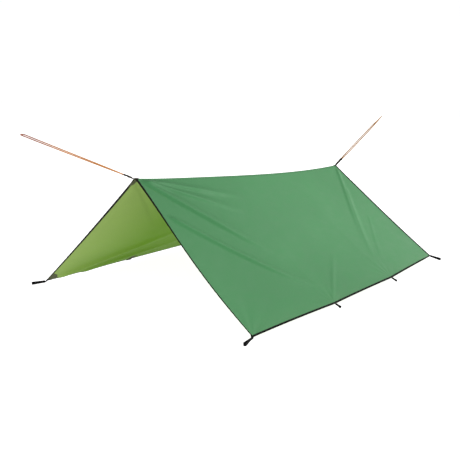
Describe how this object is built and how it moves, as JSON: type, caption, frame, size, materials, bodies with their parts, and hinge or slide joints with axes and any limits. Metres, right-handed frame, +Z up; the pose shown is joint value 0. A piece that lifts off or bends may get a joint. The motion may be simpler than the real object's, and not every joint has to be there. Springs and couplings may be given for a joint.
{
  "type": "tarp shelter",
  "caption": "Low A-frame tarp shelter: a green sheet pitched over a ridge, with dark bound edges, webbing peg loops and a doubled orange guyline at each end of the ridge.",
  "frame": {"origin": "on the level ground, below the middle of the ridge seam", "axes": "+X along the ridge from the higher, head end to the lower, foot end; -Y is the front wall; +Z up"},
  "size_m": [5.0562, 2.3364, 1.3504],
  "materials": {
    "cloth": "thin ripstop weave, coated, mid green outside and yellower inside",
    "tape": "matt woven edge binding, very dark green",
    "seam": "coated self-fabric seam with two stitch rows",
    "patch": "heavier olive reinforcement cloth",
    "webbing": "matt black ribbed webbing",
    "strap": "matt ribbed webbing, dark olive brown",
    "buckle": "satin moulded, nearly black",
    "cord": "braided orange guyline cord"
  },
  "bodies": {
    "ridge": {"ridge_seam_tape": "seam"},
    "front_wall": {"front_panel": "cloth", "front_hem_tape": "tape", "head_front_end_tape": "tape", "head_front_corner_patch": "patch", "head_front_ridge_patch": "patch", "head_front_side_patch": "patch", "foot_front_end_tape": "tape", "foot_front_corner_patch": "patch", "foot_front_ridge_patch": "patch", "foot_front_side_patch": "patch"},
    "back_wall": {"back_panel": "cloth", "back_hem_tape": "tape", "head_back_end_tape": "tape", "head_back_corner_patch": "patch", "head_back_ridge_patch": "patch", "head_back_side_patch": "patch", "foot_back_end_tape": "tape", "foot_back_corner_patch": "patch", "foot_back_ridge_patch": "patch", "foot_back_side_patch": "patch"},
    "head_front_corner_peg": {"head_front_corner_loop": "webbing"},
    "foot_front_corner_peg": {"foot_front_corner_loop": "webbing"},
    "head_back_corner_peg": {"head_back_corner_loop": "webbing"},
    "foot_back_corner_peg": {"foot_back_corner_loop": "webbing"},
    "head_front_side_peg": {"head_front_side_loop": "webbing"},
    "foot_front_side_peg": {"foot_front_side_loop": "webbing"},
    "head_back_side_peg": {"head_back_side_loop": "webbing"},
    "foot_back_side_peg": {"foot_back_side_loop": "webbing"},
    "head_strap": {"head_ridge_loop": "strap"},
    "head_line": {"head_buckle": "buckle", "head_guyline": "cord"},
    "foot_strap": {"foot_ridge_loop": "strap"},
    "foot_line": {"foot_buckle": "buckle", "foot_guyline": "cord"}
  },
  "joints": [
    {"name": "front_wall_lift", "type": "hinge", "parent": "ridge", "child": "front_wall", "pos_m": [0, 0, 0.8805], "axis": [-0.9994, 0, 0.0342], "range_deg": [0, 50]},
    {"name": "back_wall_lift", "type": "hinge", "parent": "ridge", "child": "back_wall", "pos_m": [0, 0, 0.8805], "axis": [0.9994, 0, -0.0342], "range_deg": [0, 50]},
    {"name": "head_front_corner_loop_lift", "type": "hinge", "parent": "front_wall", "child": "head_front_corner_peg", "pos_m": [-1.50499, -1.00663, 0.025], "axis": [-0.0698, 0.9976, 0], "range_deg": [0, 80]},
    {"name": "foot_front_corner_loop_lift", "type": "hinge", "parent": "front_wall", "child": "foot_front_corner_peg", "pos_m": [1.56183, -1.07542, 0.025], "axis": [-0.9994, 0.0349, 0], "range_deg": [0, 80]},
    {"name": "head_back_corner_loop_lift", "type": "hinge", "parent": "back_wall", "child": "head_back_corner_peg", "pos_m": [-1.50394, 1.01469, 0.021], "axis": [0.6157, 0.788, 0], "range_deg": [0, 80]},
    {"name": "foot_back_corner_loop_lift", "type": "hinge", "parent": "back_wall", "child": "foot_back_corner_peg", "pos_m": [1.50321, 1.07619, 0.021], "axis": [0.766, -0.6428, 0], "range_deg": [0, 80]},
    {"name": "head_front_side_loop_lift", "type": "hinge", "parent": "front_wall", "child": "head_front_side_peg", "pos_m": [-0.5, -1.08348, 0.025], "axis": [-1, 0, 0], "range_deg": [0, 80]},
    {"name": "foot_front_side_loop_lift", "type": "hinge", "parent": "front_wall", "child": "foot_front_side_peg", "pos_m": [0.5, -1.11279, 0.025], "axis": [-1, 0, 0], "range_deg": [0, 80]},
    {"name": "head_back_side_loop_lift", "type": "hinge", "parent": "back_wall", "child": "head_back_side_peg", "pos_m": [-0.5, 1.04384, 0.021], "axis": [1, 0, 0], "range_deg": [0, 80]},
    {"name": "foot_back_side_loop_lift", "type": "hinge", "parent": "back_wall", "child": "foot_back_side_peg", "pos_m": [0.5, 1.07208, 0.021], "axis": [1, 0, 0], "range_deg": [0, 80]},
    {"name": "head_strap_lift", "type": "hinge", "parent": "ridge", "child": "head_strap", "pos_m": [-1.53, 0, 0.9505], "axis": [0, 1, 0], "range_deg": [0, 25]},
    {"name": "head_line_lift", "type": "hinge", "parent": "head_strap", "child": "head_line", "pos_m": [-1.61341, 0, 0.98037], "axis": [0, 1, 0], "range_deg": [0, 30]},
    {"name": "foot_strap_lift", "type": "hinge", "parent": "ridge", "child": "foot_strap", "pos_m": [1.504, 0, 0.848], "axis": [0, -1, 0], "range_deg": [0, 25]},
    {"name": "foot_line_lift", "type": "hinge", "parent": "foot_strap", "child": "foot_line", "pos_m": [1.60853, 0, 0.89498], "axis": [0, -1, 0], "range_deg": [0, 30]}
  ]
}
